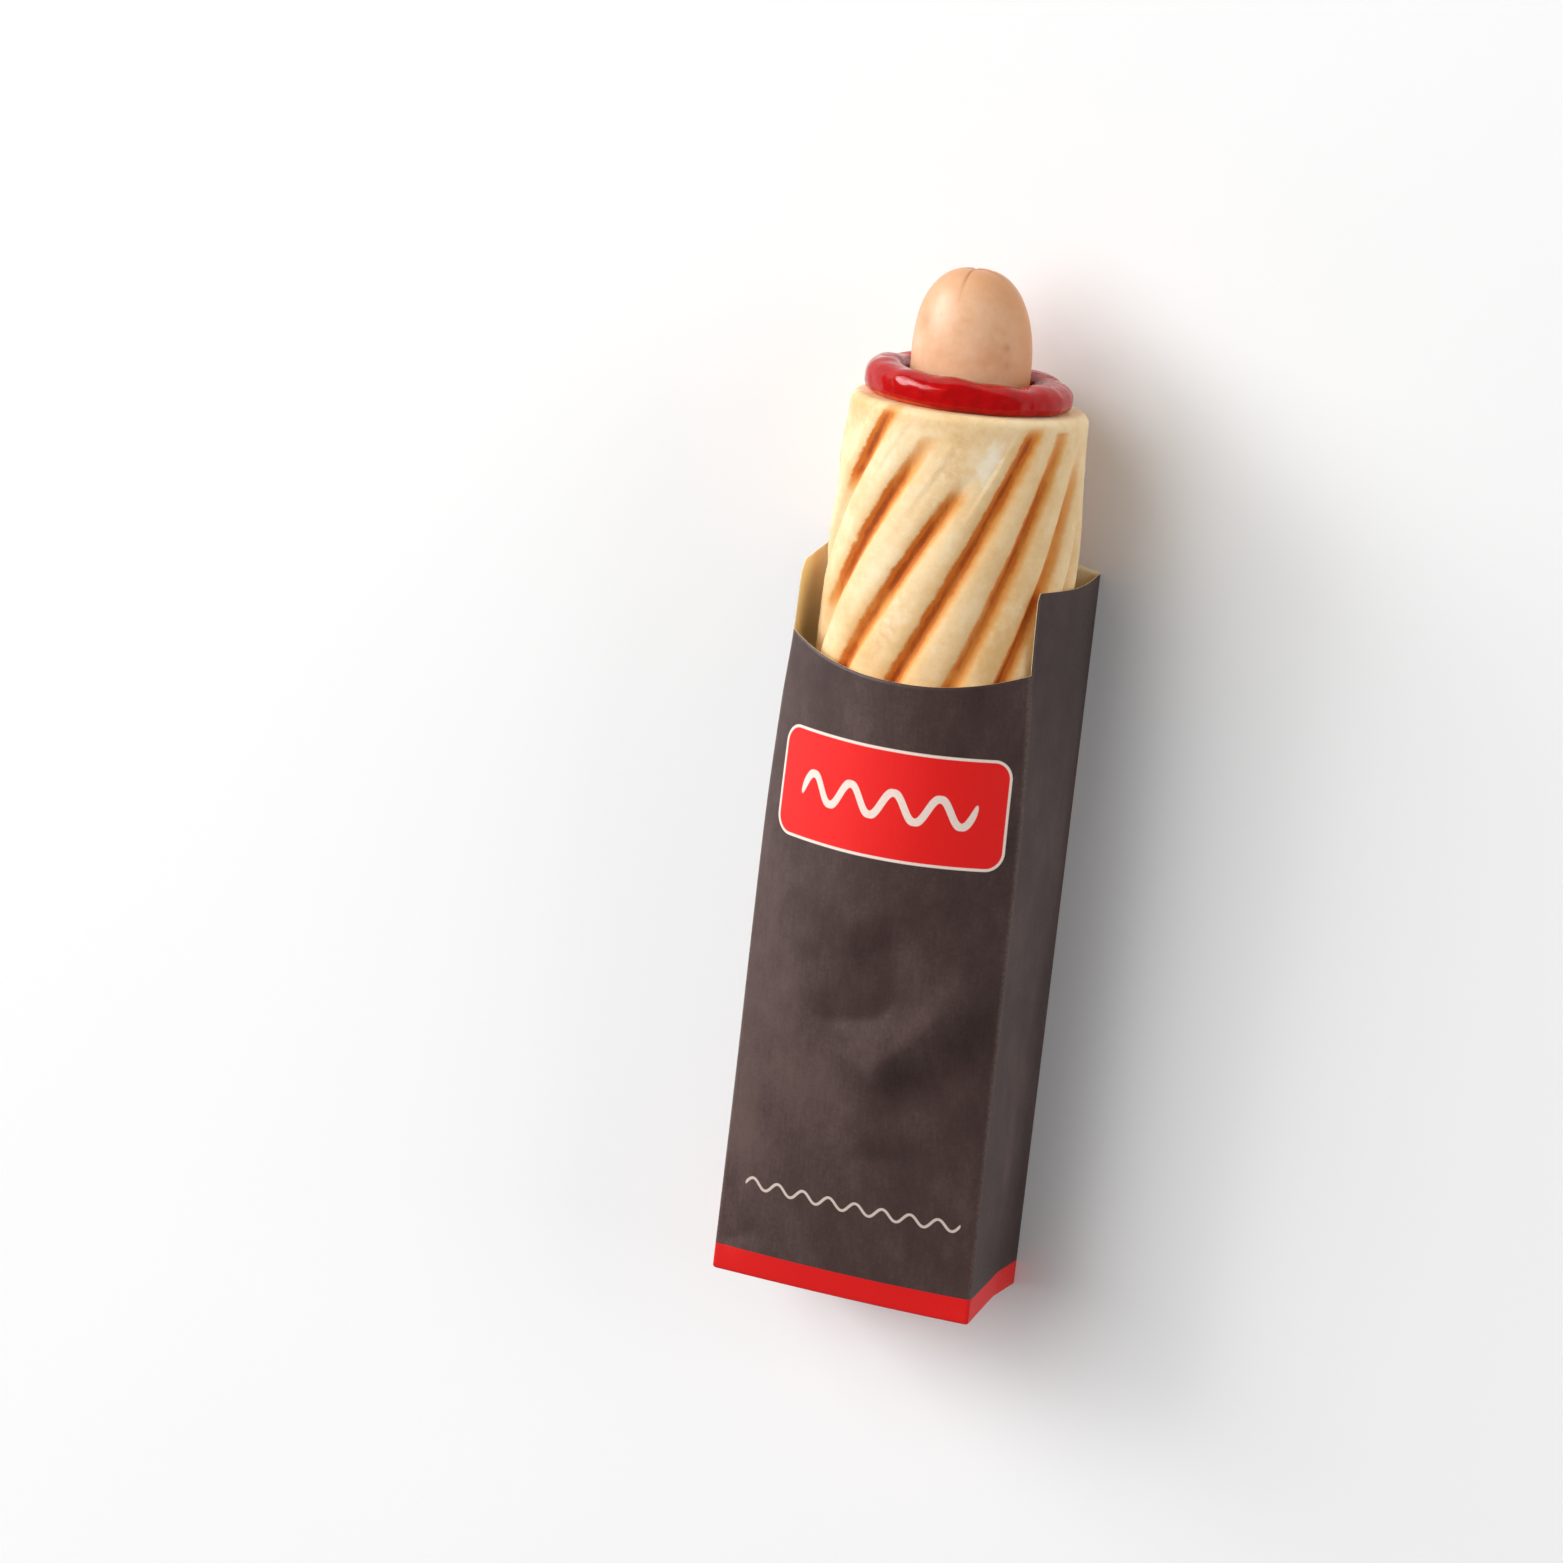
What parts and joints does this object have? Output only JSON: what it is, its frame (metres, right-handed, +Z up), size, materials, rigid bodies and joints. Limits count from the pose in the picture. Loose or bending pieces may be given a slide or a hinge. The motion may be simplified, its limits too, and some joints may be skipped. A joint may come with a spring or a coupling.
{
  "type": "hot dog",
  "caption": "French hot dog lying on its back: grilled bun with spiral grooves, a sausage in its bore, a ring of ketchup on the rim, in a folded dark paper sleeve with a scooped front.",
  "frame": {"origin": "centre of the footprint at the outer face of the sleeve's back panel, where the part rests", "axes": "+X across the sleeve, to the right when the front is seen with the sausage up; +Y along the sleeve, towards the sausage's tip; +Z up, from the back panel to the front panel"},
  "size_m": [0.0604, 0.2188, 0.0518],
  "materials": {
    "paper": "uncoated kraft paper printed dark brown outside with a red badge and band, plain tan inside",
    "bread": "pale baked crust, matt, with browned spiral grill grooves",
    "sausage": "smooth cooked skin, satin",
    "ketchup": "thick wet sauce, glossy"
  },
  "bodies": {
    "root": {"sleeve": "paper", "bun": "bread", "sausage": "sausage", "ketchup": "ketchup"}
  },
  "joints": []
}
